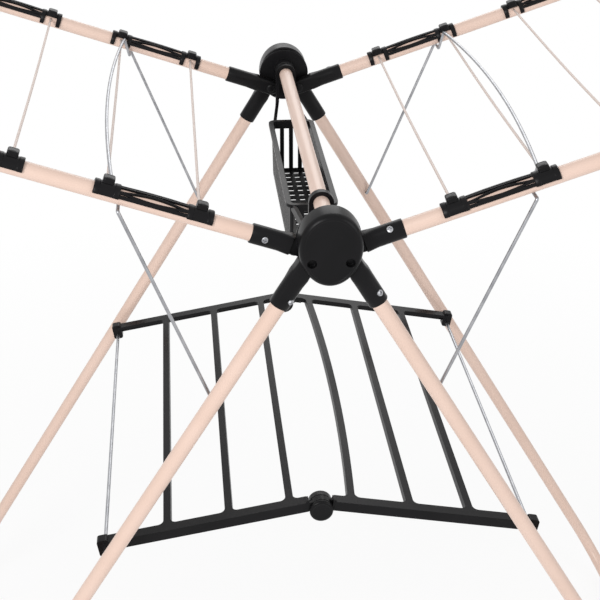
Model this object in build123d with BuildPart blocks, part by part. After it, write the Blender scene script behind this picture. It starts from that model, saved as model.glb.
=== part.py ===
"""Free-standing folding clothes airer with two raised wings, a hinged lower shelf and a peg basket.

Millimetres, +Z up, standing on its feet with the floor at Z = 0.  X runs across the wings, Y runs
from the front hub to the back hub.  The origin is on the floor under the middle of the crossbar.
Pieces are drawn for the right-hand side (+X) and mirrored for the left.
"""

import os
from math import atan2, cos, degrees, hypot, radians, sin

from build123d import *

# Tubes of the legs, wings and crossbar
TUBE_D = 16.0
TUBE_WALL = 1.0
LEG_BEND = 70.0
WING_BEND = 60.0

# Layout of the two hubs and of the frames that turn on their pins
PIVOT_HALF = 18.0
LEG_PLANE = 252.0
LAYER_PITCH = 17.5
LAYER_GAP = 0.5
LEG_SPLAY = 31.0
WING_RISE = 19.0
LEG_LENGTH = 930.0
WING_LENGTH = 820.0

# Feet
FOOT_SOLE = 11.0
FOOT_R = 11.0
FOOT_LEN = 34.0
FOOT_INSET = 100.0
FOOT_ROUND = 2.0

# Hub: oval cover outside, plate between the leg and wing layers, pins through both
HUB_R = 32.5
HUB_LOW_R = 29.0
HUB_DROP = 8.0
HUB_UP = 15.5
HUB_WALL = 2.6
COVER_T = 7.0
COVER_RIM = 5.5
PLATE_T = 3.0
PLATE_INSET = 1.5
PLATE_ROUND = 1.0
CROSSBAR_UP = 23.0
COLLAR_R = 12.0
COLLAR_LEN = 15.0
SKIRT_LOW = 0.0
PIN_R = 3.5
PIN_HEAD_R = 4.3
PIN_HEAD_T = 2.4
PIN_RECESS_R = 4.6
PIN_SEAT_T = 3.0
RIVET_R = 5.0
RIVET_T = 1.5
RUN_CLEAR = 0.06

# Sockets that hold the tubes
EYE_R = 9.0
NECK_END = 14.0
SHOULDER_END = 21.0
TUBE_START = 24.0
SOCKET_END = 58.0
LEG_SOCKET_H = 21.0
WING_SOCKET_H = 19.4
SOCKET_ROUND = 5.5
WING_RELIEF_END = 18.0
LEG_SCREW_AT = 50.0
WING_SCREW_AT = 45.0
SCREW_TILT = 50.0
SCREW_R = 1.6
SCREW_HEAD_R = 3.1
SCREW_HEAD_T = 1.5
SCREW_SEAT = 8.6
SCREW_TIP = 5.0

# Drying lines and the moulded rails that guide them
LINE_FIRST = 109.0
LINE_PITCH = 90.0
LINE_COUNT = 8
LINE_D = 2.8
LINE_UP = 3.0
LINE_HOLE_PLAY = 0.15
KNOT_R = 2.6
KNOT_IN = 3.5
KNOT_LEN = 3.0
RAIL_WALL = 2.0
CLIP_LEN = 25.0
COLLAR_T = 5.0
CLIP_COLLAR_R = 11.0
CLIP_WRAP_LOW = -6.0
TAB_LEN = 13.0
TAB_W = 13.0
TAB_T = 3.5
TAB_ROUND = 1.5
LENS_LEN = 42.0
LENS_H = 7.0
LENS_UP = 4.6
SLIT_LEN = 12.5
SLIT_H = 2.0
SLIT_OUT = 25.6
SLIT_OFF = 2.6

# Wire props that hold the wings up
PROP_D = 4.0
PROP_HOLE_AT = 184.0
PROP_SEAT_AT = 184.0
PROP_PEAK_AT = 196.0
PROP_PEAK_UP = 8.0
PROP_BOW_OUT = 12.0
PROP_BOW_UP = 2.0
PROP_BOW_Y = 140.0
PROP_SEAT_GAP = 0.4
PROP_FOOT_GAP = 1.2
PROP_SIDE_GAP = 1.5
PROP_INSIDE_GAP = 0.5
PROP_HOOK_IN = 4.5
PROP_BEND = 5.0
PROP_HOOK_BEND = 2.8
PROP_BOW_R = 300.0

# Lower shelf in two hinged halves
SHELF_LEG_AT = 406.0
SHELF_RISE = 41.0
SHELF_HALF_W = 229.0
SHELF_RAIL_H = 11.0
SHELF_WEB_T = 3.5
SHELF_FLANGE_W = 12.0
SHELF_FLANGE_T = 3.5
SHELF_BARS = (31.0, 96.0, 162.0)
SHELF_BAR_W = 8.0
SHELF_BAR_H = 7.0
SHELF_BAR_BOW = 9.0
SHELF_BAR_FLARE = 6.0
SHELF_LUG_LEN = 12.0
SHELF_LUG_H = 20.0
SHELF_LUG_LOW = 6.0
SHELF_LUG_ROUND = 3.0
SHELF_LUG_W = 10.0
SHELF_WIRE_D = 4.0
SHELF_WIRE_END_GAP = 0.6
KNUCKLE_R = 11.0
KNUCKLE_CLEAR = 2.0
KNUCKLE_LAP = 0.5
KNUCKLE_TAIL = 24.0
KNUCKLE_TUCK = 1.0
HINGE_PIN_R = 5.0
HINGE_HEAD_R = 10.5
HINGE_HEAD_T = 3.0
HINGE_HEAD_ROUND = 1.2
HINGE_SNAP_R = 6.5
HINGE_SNAP_T = 2.5
HINGE_FACE_GAP = 0.3
HINGE_SLOT_W = 2.4
HINGE_SLOT_DEEP = 1.6

# Peg basket hung on the crossbar
BASKET_AT = 18.0
BASKET_RIM_DOWN = 35.0
BASKET_FLOOR_DOWN = 99.0
BASKET_RIM_L = 245.0
BASKET_RIM_W = 48.0
BASKET_FLOOR_L = 232.0
BASKET_FLOOR_W = 45.0
BASKET_WALL = 2.2
BASKET_LIP_W = 3.5
BASKET_LIP_T = 3.5
BASKET_ROUND = 6.0
FLOOR_HOLE = (6.0, 6.5)
FLOOR_HOLE_PITCH = (11.0, 13.3)
FLOOR_HOLE_COUNT = (4, 17)
END_SLOT_W = 6.0
END_SLOT_PITCH = 11.0
END_SLOT_COUNT = 4
SIDE_SLOT_W = 7.0
SIDE_SLOT_PITCH = 13.3
SIDE_SLOT_COUNT = 17
SLOT_TOP_LAND = 9.0
SLOT_FLOOR_LAND = 4.0
HANGER_AT = 197.0
HANGER_T = 7.0
HANGER_WALL = 4.2
HANGER_CLEAR = 0.3
HANGER_BAR = (7.0, 4.0)
HANGER_TUCK = 0.5
HANGER_BEND = 6.0

# Sizes worked out from the ones above
TUBE_R = TUBE_D / 2
WING_PLANE = LEG_PLANE - LAYER_PITCH
LAYER_T = LAYER_PITCH - LAYER_GAP
COVER_INNER = LEG_PLANE + LAYER_PITCH / 2
PLATE_OUTER = LEG_PLANE - LAYER_PITCH / 2
PIN_INNER = WING_PLANE - LAYER_PITCH / 2
PIVOT_Z = FOOT_SOLE + LEG_LENGTH * cos(radians(LEG_SPLAY))
HUB_Z = PIVOT_Z + HUB_UP
CROSSBAR_Z = PIVOT_Z + CROSSBAR_UP
LINE_R = LINE_D / 2
PROP_R = PROP_D / 2
SHELF_WIRE_R = SHELF_WIRE_D / 2
LINE_PLACES = [LINE_FIRST + LINE_PITCH * i for i in range(LINE_COUNT)]
ENDS = {"front": -1, "back": 1}

# Frames of the right-hand leg and wing: local x runs out along the tube, local y is the row's Y
LEG = Plane(
    origin=(PIVOT_HALF, 0, PIVOT_Z),
    x_dir=(sin(radians(LEG_SPLAY)), 0, -cos(radians(LEG_SPLAY))),
    z_dir=(cos(radians(LEG_SPLAY)), 0, sin(radians(LEG_SPLAY))),
)
WING = Plane(
    origin=(PIVOT_HALF, 0, PIVOT_Z),
    x_dir=(cos(radians(WING_RISE)), 0, sin(radians(WING_RISE))),
    z_dir=(-sin(radians(WING_RISE)), 0, cos(radians(WING_RISE))),
)

# Frame of the right-hand shelf half: it slopes down from the hinge to the leg
SHELF_REACH = PIVOT_HALF + SHELF_LEG_AT * sin(radians(LEG_SPLAY))
SHELF_SLOPE = degrees(atan2(SHELF_RISE, SHELF_REACH))
SHELF_LENGTH = hypot(SHELF_REACH, SHELF_RISE)
SHELF_HINGE_Z = PIVOT_Z - SHELF_LEG_AT * cos(radians(LEG_SPLAY)) + SHELF_RISE
SHELF = Plane(
    origin=(0, 0, SHELF_HINGE_Z),
    x_dir=(cos(radians(SHELF_SLOPE)), 0, -sin(radians(SHELF_SLOPE))),
    z_dir=(sin(radians(SHELF_SLOPE)), 0, cos(radians(SHELF_SLOPE))),
)

os.makedirs("parts", exist_ok=True)


def write(part, name):
    """Label a finished piece and write it as one STEP file."""
    part.label = name
    export_step(part, f"parts/{name}.step")


def write_sides(part, name):
    """Write a right-hand piece and its left-hand mirror image."""
    write(part, f"{name}_right")
    write(mirror(part, about=Plane.YZ), f"{name}_left")


def section(x, y):
    """Plane across a tube: its x is the row's Y, its y is up from the tube, it looks along the tube."""
    return Plane(origin=(x, y, 0), x_dir=(0, 1, 0), z_dir=(1, 0, 0))


def side_on(y):
    """Plane seen from the front at depth y: its x is along the tube, its y is up from it."""
    return Plane(origin=(0, y, 0), x_dir=(1, 0, 0), z_dir=(0, -1, 0))


def screw_plane(at, plane_y, end, tilt):
    """Plane on the tube's axis that faces out along a socket screw."""
    lean = radians(tilt)
    return Plane(origin=(at, end * plane_y, 0), x_dir=(1, 0, 0), z_dir=(0, end * cos(lean), sin(lean)))


# Crossbar
with BuildPart() as crossbar:
    with BuildSketch(Plane(origin=(0, -PLATE_OUTER, CROSSBAR_Z), x_dir=(1, 0, 0), z_dir=(0, 1, 0))):
        Circle(TUBE_R)
        Circle(TUBE_R - TUBE_WALL, mode=Mode.SUBTRACT)
    extrude(amount=2 * PLATE_OUTER)
write(crossbar.part, "crossbar")

# Hub covers, hub plates and pivot pins
COVER_FACE = Plane(origin=(0, COVER_INNER, HUB_Z), x_dir=(-1, 0, 0), z_dir=(0, 1, 0))
PLATE_FACE = Plane(origin=(0, PLATE_OUTER, HUB_Z), x_dir=(-1, 0, 0), z_dir=(0, 1, 0))
PIN_FACE = Plane(origin=(0, PIN_INNER, HUB_Z), x_dir=(-1, 0, 0), z_dir=(0, 1, 0))
PIN_SPOTS = [(side * PIVOT_HALF, -HUB_UP) for side in (-1, 1)]

with BuildPart() as cover:
    with BuildSketch(PLATE_FACE):
        Circle(HUB_R)
        with Locations((0, -HUB_DROP)):
            Circle(HUB_LOW_R)
        make_hull()
    extrude(amount=COVER_INNER - PLATE_OUTER + COVER_T)
    fillet(cover.edges().group_by(Axis.Y)[-1], radius=COVER_RIM)
    with BuildSketch(PLATE_FACE):
        Circle(HUB_R - HUB_WALL)
        with Locations((0, -HUB_DROP)):
            Circle(HUB_LOW_R - HUB_WALL)
        make_hull()
    extrude(amount=COVER_INNER - PLATE_OUTER, mode=Mode.SUBTRACT)
    with BuildSketch(PLATE_FACE):
        with Locations((0, SKIRT_LOW)):
            Rectangle(3 * HUB_R, 3 * HUB_R, align=(Align.CENTER, Align.MAX))
    extrude(amount=COVER_INNER - PLATE_OUTER, mode=Mode.SUBTRACT)
    with BuildSketch(COVER_FACE):
        with Locations(*PIN_SPOTS):
            Circle(PIN_R)
    extrude(amount=COVER_T, mode=Mode.SUBTRACT)
    with BuildSketch(COVER_FACE.offset(PIN_SEAT_T)):
        with Locations(*PIN_SPOTS):
            Circle(PIN_RECESS_R)
    extrude(amount=COVER_T, mode=Mode.SUBTRACT)

with BuildPart() as plate:
    with BuildSketch(PLATE_FACE):
        Circle(HUB_R - PLATE_INSET)
        with Locations((0, -HUB_DROP)):
            Circle(HUB_LOW_R - PLATE_INSET)
        make_hull()
    extrude(amount=-PLATE_T)
    fillet(plate.edges().group_by(Axis.Y)[0], radius=PLATE_ROUND)
    with BuildSketch(PLATE_FACE.offset(-PLATE_T)):
        with Locations((0, CROSSBAR_UP - HUB_UP)):
            Circle(COLLAR_R)
    extrude(amount=-COLLAR_LEN)
    fillet(plate.edges().group_by(Axis.Y)[0], radius=(COLLAR_R - TUBE_R) / 3)
    with BuildSketch(PLATE_FACE):
        with Locations((0, CROSSBAR_UP - HUB_UP)):
            Circle(TUBE_R)
        with Locations(*PIN_SPOTS):
            Circle(PIN_R)
    extrude(amount=-(PLATE_T + COLLAR_LEN), mode=Mode.SUBTRACT)

with BuildPart() as pins:
    with BuildSketch(PIN_FACE):
        with Locations(*PIN_SPOTS):
            Circle(PIN_R)
    extrude(amount=COVER_INNER - PIN_INNER + PIN_SEAT_T)
    with BuildSketch(COVER_FACE.offset(PIN_SEAT_T)):
        with Locations(*PIN_SPOTS):
            Circle(PIN_HEAD_R)
    extrude(amount=PIN_HEAD_T)
    with BuildSketch(PIN_FACE):
        with Locations(*PIN_SPOTS):
            Circle(RIVET_R)
    extrude(amount=-RIVET_T)

for piece, name in ((cover, "hub_cover"), (plate, "hub_plate"), (pins, "pivot_pins")):
    write(piece.part, f"{name}_back")
    write(mirror(piece.part, about=Plane.XZ), f"{name}_front")


def make_socket(plane_y, end, height, screw_at, tilt, relief):
    """Moulded socket: an eye on the pivot pin, thinner by relief, a neck, and a sleeve round the tube's end."""
    with BuildPart() as socket:
        with BuildSketch(side_on(end * plane_y)):
            Circle(EYE_R)
            with BuildLine():
                Polyline(
                    (0, EYE_R), (NECK_END, EYE_R), (SHOULDER_END, height / 2), (SOCKET_END, height / 2),
                    (SOCKET_END, -height / 2), (SHOULDER_END, -height / 2), (NECK_END, -EYE_R), (0, -EYE_R),
                    close=True,
                )
            make_face()
        extrude(amount=LAYER_T / 2, both=True)
        long_edges = socket.edges().filter_by(Axis.X)
        fillet(long_edges.filter_by(lambda e: e.center().X > SHOULDER_END), radius=SOCKET_ROUND)
        if relief:
            with BuildSketch(side_on(end * (plane_y + LAYER_T / 2))):
                with Locations((WING_RELIEF_END, 0)):
                    Rectangle(2 * SOCKET_END, SOCKET_END, align=(Align.MAX, Align.CENTER))
            extrude(amount=end * relief, mode=Mode.SUBTRACT)
        with BuildSketch(section(TUBE_START, end * plane_y)):
            Circle(TUBE_R)
        extrude(amount=SOCKET_END, mode=Mode.SUBTRACT)
        with BuildSketch(side_on(end * plane_y)):
            Circle(PIN_R + RUN_CLEAR)
        extrude(amount=LAYER_T, both=True, mode=Mode.SUBTRACT)
        with BuildSketch(screw_plane(screw_at, plane_y, end, tilt).offset(SCREW_TIP)):
            Circle(SCREW_R)
        extrude(amount=SCREW_SEAT, mode=Mode.SUBTRACT)
        with BuildSketch(screw_plane(screw_at, plane_y, end, tilt).offset(SCREW_SEAT)):
            Circle(SCREW_HEAD_R)
        extrude(amount=SCREW_SEAT, mode=Mode.SUBTRACT)
    return socket.part


def make_screws(plane_y, screw_at, tilt):
    """Pan-head screws that hold the front and back tube ends in their sockets."""
    with BuildPart() as screws:
        for end in ENDS.values():
            with BuildSketch(screw_plane(screw_at, plane_y, end, tilt).offset(SCREW_TIP)):
                Circle(SCREW_R)
            extrude(amount=SCREW_SEAT - SCREW_TIP)
            with BuildSketch(screw_plane(screw_at, plane_y, end, tilt).offset(SCREW_SEAT)):
                Circle(SCREW_HEAD_R)
            extrude(amount=SCREW_HEAD_T)
    return screws.part


def make_frame(plane_y, length, bend, screw_at, tilt, side_holes):
    """Tube bent into a U, from socket to socket; side_holes are (place, height, radius) in its inner side."""
    with BuildPart() as frame:
        with BuildLine() as route:
            FilletPolyline(
                (TUBE_START, plane_y), (length, plane_y), (length, -plane_y), (TUBE_START, -plane_y),
                radius=bend,
            )
        with BuildSketch(section(TUBE_START, plane_y)):
            Circle(TUBE_R)
            Circle(TUBE_R - TUBE_WALL, mode=Mode.SUBTRACT)
        sweep(path=route.line)
        for end in ENDS.values():
            with BuildSketch(screw_plane(screw_at, plane_y, end, tilt).offset(SCREW_TIP)):
                Circle(SCREW_R)
            extrude(amount=TUBE_R, mode=Mode.SUBTRACT)
            for place, up, radius in side_holes:
                with BuildSketch(Plane.XZ.offset(-end * plane_y)):
                    with Locations((place, up)):
                        Circle(radius)
                extrude(amount=end * TUBE_D, mode=Mode.SUBTRACT)
    return frame.part


# Leg frames, leg sockets, screws and feet; the screws of both sides face +X, as the mouldings are alike
leg_holes = [
    (PROP_HOLE_AT, 0, PROP_R + RUN_CLEAR),
    (SHELF_LEG_AT, 0, SHELF_WIRE_R + RUN_CLEAR),
]
for side, side_name in ((1, "right"), (-1, "left")):
    tilt = side * SCREW_TILT
    leg_pieces = {
        f"leg_frame_{side_name}": make_frame(
            LEG_PLANE, LEG_LENGTH, LEG_BEND, LEG_SCREW_AT, tilt, leg_holes),
        f"leg_screws_{side_name}": make_screws(LEG_PLANE, LEG_SCREW_AT, tilt),
    }
    for end_name, end in ENDS.items():
        leg_pieces[f"leg_socket_{side_name}_{end_name}"] = make_socket(
            LEG_PLANE, end, LEG_SOCKET_H, LEG_SCREW_AT, tilt, 0)
    for name, piece in leg_pieces.items():
        placed = LEG.location * piece
        write(placed if side > 0 else mirror(placed, about=Plane.YZ), name)

FOOT_X = PIVOT_HALF + LEG_LENGTH * sin(radians(LEG_SPLAY))
FOOT_Y = LEG_PLANE - FOOT_INSET
for end_name, end in ENDS.items():
    with BuildPart() as foot:
        with BuildSketch(Plane(origin=(FOOT_X, end * FOOT_Y, FOOT_SOLE), x_dir=(1, 0, 0), z_dir=(0, -1, 0))):
            Circle(FOOT_R)
            Rectangle(2 * FOOT_R, FOOT_SOLE, align=(Align.CENTER, Align.MAX))
        extrude(amount=FOOT_LEN / 2, both=True)
        fillet(foot.edges().filter_by(Axis.Y).group_by(Axis.Z)[0], radius=FOOT_ROUND)
        with BuildSketch(Plane(origin=(FOOT_X, end * FOOT_Y, FOOT_SOLE), x_dir=(1, 0, 0), z_dir=(0, -1, 0))):
            Circle(TUBE_R)
        extrude(amount=FOOT_LEN, both=True, mode=Mode.SUBTRACT)
    write_sides(foot.part, f"foot_{end_name}")

# Wing frames, wing sockets and screws
wing_holes = [(place, LINE_UP, LINE_R + LINE_HOLE_PLAY) for place in LINE_PLACES]
for side, side_name in ((1, "right"), (-1, "left")):
    tilt = side * SCREW_TILT
    wing_pieces = {
        f"wing_frame_{side_name}": make_frame(
            WING_PLANE, WING_LENGTH, WING_BEND, WING_SCREW_AT, tilt, wing_holes),
        f"wing_screws_{side_name}": make_screws(WING_PLANE, WING_SCREW_AT, tilt),
    }
    for end_name, end in ENDS.items():
        wing_pieces[f"wing_socket_{side_name}_{end_name}"] = make_socket(
            WING_PLANE, end, WING_SOCKET_H, WING_SCREW_AT, tilt, PLATE_T)
    for name, piece in wing_pieces.items():
        placed = WING.location * piece
        write(placed if side > 0 else mirror(placed, about=Plane.YZ), name)


def make_rail(start, end):
    """Moulded guide for two lines: a saddle clip at each, joined by a pierced strip over the tube."""
    middle = start + LINE_PITCH / 2
    first = start - CLIP_LEN / 2
    length = LINE_PITCH + CLIP_LEN
    with BuildPart() as rail:
        with BuildSketch(section(first, end * WING_PLANE)):
            Circle(TUBE_R + RAIL_WALL)
            Rectangle(TUBE_D * 2, TUBE_D, align=(Align.CENTER, Align.MAX), mode=Mode.SUBTRACT)
        extrude(amount=length)
        for place in (start, start + LINE_PITCH):
            with BuildSketch(section(place - CLIP_LEN / 2, end * WING_PLANE)):
                Circle(CLIP_COLLAR_R)
                with Locations((0, CLIP_WRAP_LOW)):
                    Rectangle(TUBE_D * 2, TUBE_D, align=(Align.CENTER, Align.MAX), mode=Mode.SUBTRACT)
            extrude(amount=CLIP_LEN)
            with BuildSketch(Plane.XY.offset(TUBE_R)):
                with Locations((place, end * WING_PLANE)):
                    RectangleRounded(TAB_LEN, TAB_W, TAB_ROUND)
            extrude(amount=RAIL_WALL + TAB_T)
            window = CLIP_LEN - 2 * COLLAR_T
            with BuildSketch(side_on(end * (WING_PLANE - CLIP_COLLAR_R))):
                with Locations((place, 0)):
                    Rectangle(window, 2 * TUBE_R, align=Align.CENTER)
            extrude(amount=-end * (CLIP_COLLAR_R - TUBE_R / 4), mode=Mode.SUBTRACT)
        with BuildSketch(side_on(end * WING_PLANE)):
            with BuildLine():
                lens_from = (middle - LENS_LEN / 2, LENS_UP)
                lens_to = (middle + LENS_LEN / 2, LENS_UP)
                ThreePointArc(lens_from, (middle, LENS_UP + LENS_H / 2), lens_to)
                ThreePointArc(lens_to, (middle, LENS_UP - LENS_H / 2), lens_from)
            make_face()
            with Locations((middle, LENS_UP)):
                with GridLocations(2 * SLIT_OUT, 2 * SLIT_OFF, 2, 2):
                    Rectangle(SLIT_LEN, SLIT_H)
        extrude(amount=TUBE_D, both=True, mode=Mode.SUBTRACT)
        with BuildSketch(section(first - 1, end * WING_PLANE)):
            Circle(TUBE_R)
        extrude(amount=length + 2, mode=Mode.SUBTRACT)
    return rail.part


for end_name, end in ENDS.items():
    arm_rails = [make_rail(start, end) for start in LINE_PLACES[::2]]
    with BuildPart() as rails:
        add(arm_rails)
    write_sides(WING.location * rails.part, f"line_rails_{end_name}")

# Drying lines, each knotted inside the tubes at its two ends
KNOT_AT = WING_PLANE - KNOT_IN
for number, place in enumerate(LINE_PLACES, start=1):
    with BuildPart() as line:
        with BuildSketch(Plane.XZ.offset(-KNOT_AT)):
            with Locations((place, LINE_UP)):
                Circle(LINE_R)
        extrude(amount=2 * KNOT_AT)
        for end in ENDS.values():
            with BuildSketch(Plane.XZ.offset(-end * KNOT_AT)):
                with Locations((place, LINE_UP)):
                    Circle(KNOT_R)
            extrude(amount=-end * KNOT_LEN)
    placed = WING.location * line.part
    write(placed, f"drying_line_right_{number}")
    write(mirror(placed, about=Plane.YZ), f"drying_line_left_{number}")


def on_leg(at, y):
    """Point on the axis of the right-hand leg."""
    return LEG.from_local_coords(Vector(at, y, 0))


def on_wing(at, y, up):
    """Point beside the axis of the right-hand wing arm, up from it."""
    return WING.from_local_coords(Vector(at, y, up))


# Wire props: hooked into the legs, under the arms, up inside them and across to the other arm
PROP_FOOT_Y = LEG_PLANE - TUBE_R - PROP_FOOT_GAP - PROP_R
PROP_OUT_Y = WING_PLANE + TUBE_R + PROP_SIDE_GAP + PROP_R
PROP_IN_Y = WING_PLANE - CLIP_COLLAR_R - PROP_INSIDE_GAP - PROP_R
PROP_UNDER = -(TUBE_R + PROP_SEAT_GAP + PROP_R)
prop_half = [
    on_leg(PROP_HOLE_AT, LEG_PLANE - TUBE_R + PROP_HOOK_IN),
    on_leg(PROP_HOLE_AT, PROP_FOOT_Y),
    on_wing(PROP_SEAT_AT, PROP_OUT_Y, PROP_UNDER),
    on_wing(PROP_SEAT_AT, PROP_IN_Y, PROP_UNDER),
    on_wing(PROP_PEAK_AT, PROP_IN_Y, PROP_PEAK_UP),
    on_wing(PROP_PEAK_AT + PROP_BOW_OUT, PROP_BOW_Y, PROP_PEAK_UP + PROP_BOW_UP),
]
prop_points = prop_half + [Vector(p.X, -p.Y, p.Z) for p in reversed(prop_half)]
half_radii = [PROP_HOOK_BEND] + [PROP_BEND] * 3 + [PROP_BOW_R]
prop_radii = half_radii + half_radii[::-1]
with BuildPart() as prop:
    with BuildLine() as route:
        FilletPolyline(*prop_points, radius=prop_radii)
    with BuildSketch(Plane(origin=route.line @ 0, z_dir=route.line % 0)):
        Circle(PROP_R)
    sweep(path=route.line)
write_sides(prop.part, "wing_prop")


def make_shelf_half(outer_knuckle):
    """Moulded shelf half: two rails, three cross bars, end lugs and a knuckle at each end of the hinge."""
    web_in = SHELF_HALF_W - SHELF_WEB_T
    rail_from = KNUCKLE_R + KNUCKLE_CLEAR
    rail_to = SHELF_LENGTH
    rail_in = SHELF_HALF_W - SHELF_FLANGE_W
    lap_in = web_in - KNUCKLE_LAP
    bar_low = SHELF_RAIL_H - SHELF_BAR_H
    knuckle_tail = [
        (0, KNUCKLE_R), (KNUCKLE_TAIL, SHELF_RAIL_H - KNUCKLE_TUCK), (KNUCKLE_TAIL, KNUCKLE_TUCK),
        (rail_from, KNUCKLE_TUCK), (KNUCKLE_R * sin(radians(45)), -KNUCKLE_R * cos(radians(45))),
    ]
    with BuildPart() as half:
        for end in ENDS.values():
            with BuildSketch(side_on(end * SHELF_HALF_W)):
                with Locations((rail_from, 0)):
                    Rectangle(rail_to - rail_from, SHELF_RAIL_H, align=Align.MIN)
                if outer_knuckle:
                    Circle(KNUCKLE_R)
                    with BuildLine():
                        Polyline(*knuckle_tail, close=True)
                    make_face()
            extrude(amount=end * SHELF_WEB_T)
        with BuildSketch(Plane.XY.offset(bar_low)) as low_bars:
            for number, place in enumerate(SHELF_BARS):
                bow = SHELF_BAR_BOW if number == 0 and not outer_knuckle else 0
                with BuildLine() as bar:
                    if bow:
                        ThreePointArc((place, -web_in), (place + bow, 0), (place, web_in))
                    else:
                        Line((place, -web_in), (place, web_in))
                trace(bar.line, line_width=SHELF_BAR_W)
        extrude(amount=SHELF_BAR_H - SHELF_FLANGE_T)
        with BuildSketch(Plane.XY.offset(SHELF_RAIL_H - SHELF_FLANGE_T)) as top:
            add(low_bars.sketch_local)
            for end in ENDS.values():
                with Locations(((rail_from + rail_to) / 2, end * (rail_in + web_in) / 2)):
                    Rectangle(rail_to - rail_from, web_in - rail_in)
            inner = top.vertices().filter_by(lambda v: abs(abs(v.Y) - rail_in) < 0.1)
            fillet(inner.filter_by(lambda v: rail_from + 1 < v.X < rail_to - 1), radius=SHELF_BAR_FLARE)
        extrude(amount=SHELF_FLANGE_T)
        for end in ENDS.values():
            with BuildSketch(side_on(end * (SHELF_HALF_W - SHELF_LUG_W / 2))):
                with Locations((SHELF_LENGTH, SHELF_LUG_H / 2 - SHELF_LUG_LOW)):
                    RectangleRounded(SHELF_LUG_LEN, SHELF_LUG_H, SHELF_LUG_ROUND)
            extrude(amount=SHELF_LUG_W / 2, both=True)
            with BuildSketch(side_on(end * SHELF_HALF_W)):
                with Locations((SHELF_LENGTH, 0)):
                    Circle(SHELF_WIRE_R)
            extrude(amount=2 * SHELF_LUG_W, both=True, mode=Mode.SUBTRACT)
            if not outer_knuckle:
                with BuildSketch(side_on(end * lap_in)):
                    Circle(KNUCKLE_R)
                    with BuildLine():
                        Polyline(*knuckle_tail, close=True)
                    make_face()
                extrude(amount=end * SHELF_WEB_T)
                with BuildSketch(side_on(end * web_in)):
                    with BuildLine():
                        Polyline(
                            (rail_from, KNUCKLE_TUCK), (rail_from, SHELF_RAIL_H - KNUCKLE_TUCK),
                            (KNUCKLE_TAIL, SHELF_RAIL_H - KNUCKLE_TUCK), (KNUCKLE_TAIL, KNUCKLE_TUCK),
                            close=True,
                        )
                    make_face()
                extrude(amount=end * KNUCKLE_LAP)
            with BuildSketch(side_on(end * SHELF_HALF_W)):
                Circle(HINGE_PIN_R + RUN_CLEAR)
            extrude(amount=end * 3 * SHELF_WEB_T, mode=Mode.SUBTRACT)
    return half.part


write(SHELF.location * make_shelf_half(False), "shelf_half_right")
write(Rotation(0, 0, 180) * SHELF.location * make_shelf_half(True), "shelf_half_left")

# End wires of the shelf, whose tips turn in the legs
SHELF_WIRE_TIP = LEG_PLANE - TUBE_R - SHELF_WIRE_END_GAP
with BuildPart() as end_wire:
    with BuildSketch(Plane.XZ.offset(-SHELF_WIRE_TIP)):
        with Locations((SHELF_LENGTH, 0)):
            Circle(SHELF_WIRE_R)
    extrude(amount=2 * SHELF_WIRE_TIP)
write_sides(SHELF.location * end_wire.part, "shelf_end_wire")

# Hinge pins of the shelf: a slotted round head outside, a snap collar inside
HINGE_OUT = SHELF_HALF_W + HINGE_FACE_GAP
HINGE_IN = SHELF_HALF_W - 2 * SHELF_WEB_T - KNUCKLE_LAP - HINGE_FACE_GAP
for end_name, end in ENDS.items():
    hinge_axis = Plane(origin=(0, 0, SHELF_HINGE_Z), x_dir=(1, 0, 0), z_dir=(0, end, 0))
    with BuildPart() as hinge_pin:
        with BuildSketch(hinge_axis.offset(HINGE_IN)):
            Circle(HINGE_PIN_R)
        extrude(amount=HINGE_OUT - HINGE_IN)
        with BuildSketch(hinge_axis.offset(HINGE_OUT)):
            Circle(HINGE_HEAD_R)
        extrude(amount=HINGE_HEAD_T)
        fillet(hinge_pin.edges().group_by(Axis.Y)[-1 if end > 0 else 0], radius=HINGE_HEAD_ROUND)
        with BuildSketch(hinge_axis.offset(HINGE_IN)):
            Circle(HINGE_SNAP_R)
        extrude(amount=-HINGE_SNAP_T)
        with BuildSketch(hinge_axis.offset(HINGE_OUT + HINGE_HEAD_T)):
            Rectangle(3 * HINGE_HEAD_R, HINGE_SLOT_W)
        extrude(amount=-HINGE_SLOT_DEEP, mode=Mode.SUBTRACT)
    write(hinge_pin.part, f"shelf_hinge_pin_{end_name}")

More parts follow.
